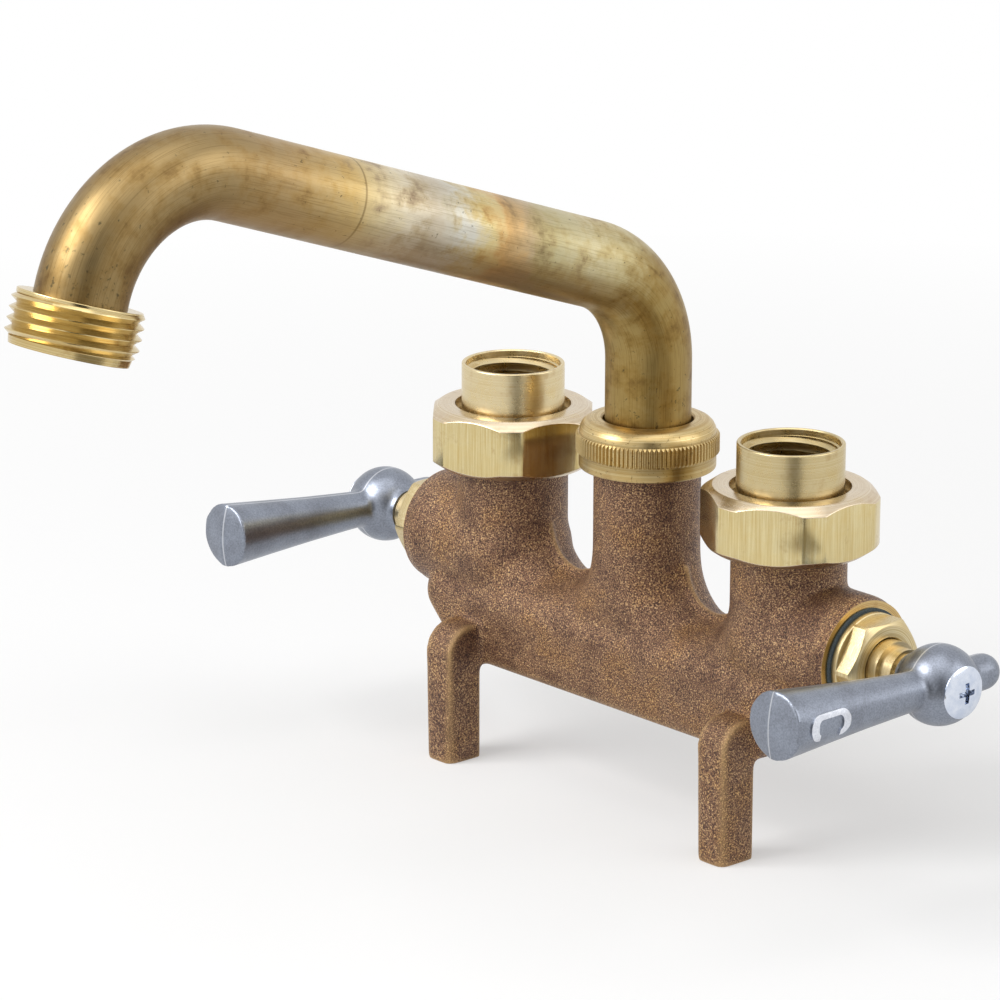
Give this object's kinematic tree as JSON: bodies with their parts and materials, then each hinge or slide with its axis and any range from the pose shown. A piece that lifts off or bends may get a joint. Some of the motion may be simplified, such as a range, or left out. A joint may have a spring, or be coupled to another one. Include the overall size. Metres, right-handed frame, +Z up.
{
  "type": "utility sink faucet",
  "caption": "Rough cast two-handle laundry tub faucet with union inlets, lever valves, straddle legs and a swinging tube spout that ends in a hose thread.",
  "frame": {"origin": "on the flat underside of the casting, which rests on the tub's rim, straight below the spout's axis", "axes": "+X along the body to the cold valve, -Y to the user, along the spout and the levers at rest, +Z up along the spout's swivel axis"},
  "size_m": [0.195, 0.189, 0.1687],
  "materials": {
    "casting": "rough sand-cast bronze, machined at its ends",
    "turned_brass": "satin turned brass",
    "tarnished_brass": "bent tube with heat tint and tarnish",
    "cast_zinc": "bare tumbled zinc die casting",
    "plated_steel": "bright plated steel",
    "seal_rubber": "moulded black rubber",
    "gasket_fibre": "pressed fibre",
    "bearing_nylon": "natural nylon"
  },
  "bodies": {
    "root": {"body": "casting", "hot_union_nut": "turned_brass", "cold_union_nut": "turned_brass", "hot_tailpiece": "turned_brass", "cold_tailpiece": "turned_brass", "hot_union_washer": "seal_rubber", "cold_union_washer": "seal_rubber", "hot_valve_seat": "turned_brass", "cold_valve_seat": "turned_brass", "hot_bonnet": "turned_brass", "cold_bonnet": "turned_brass", "hot_bonnet_gasket": "gasket_fibre", "cold_bonnet_gasket": "gasket_fibre", "hot_thrust_washer": "bearing_nylon", "cold_thrust_washer": "bearing_nylon", "slip_ring": "bearing_nylon", "spout_nut": "turned_brass"},
    "spout": {"spout_tube": "tarnished_brass", "hose_outlet": "turned_brass", "spout_collar": "turned_brass", "spout_o_ring": "seal_rubber"},
    "hot_lever": {"hot_spindle": "turned_brass", "hot_spindle_o_ring": "seal_rubber", "hot_handle": "cast_zinc", "hot_handle_screw": "plated_steel"},
    "cold_lever": {"cold_spindle": "turned_brass", "cold_spindle_o_ring": "seal_rubber", "cold_handle": "cast_zinc", "cold_handle_screw": "plated_steel"},
    "hot_valve": {"hot_plunger": "turned_brass", "hot_seat_washer": "seal_rubber", "hot_washer_screw": "turned_brass"},
    "cold_valve": {"cold_plunger": "turned_brass", "cold_seat_washer": "seal_rubber", "cold_washer_screw": "turned_brass"}
  },
  "joints": [
    {"name": "spout_swing", "type": "hinge", "parent": "root", "child": "spout", "pos_m": [0, 0, 0.0594], "axis": [0, 0, 1], "continuous": true},
    {"name": "hot_lever_turn", "type": "hinge", "parent": "root", "child": "hot_lever", "pos_m": [-0.08855, 0, 0.025], "axis": [-1, 0, 0], "range_deg": [0, 90]},
    {"name": "cold_lever_turn", "type": "hinge", "parent": "root", "child": "cold_lever", "pos_m": [0.08855, 0, 0.025], "axis": [-1, 0, 0], "range_deg": [0, 90]},
    {"name": "hot_valve_slide", "type": "slide", "parent": "root", "child": "hot_valve", "axis": [-1, 0, 0], "range_m": [0, 0.0031]},
    {"name": "cold_valve_slide", "type": "slide", "parent": "root", "child": "cold_valve", "axis": [1, 0, 0], "range_m": [0, 0.0031]}
  ],
  "couplings": [
    {"joint": "hot_valve_slide", "follows": "hot_lever_turn", "m_per_rad": 0.0019099},
    {"joint": "cold_valve_slide", "follows": "cold_lever_turn", "m_per_rad": 0.0019099}
  ]
}
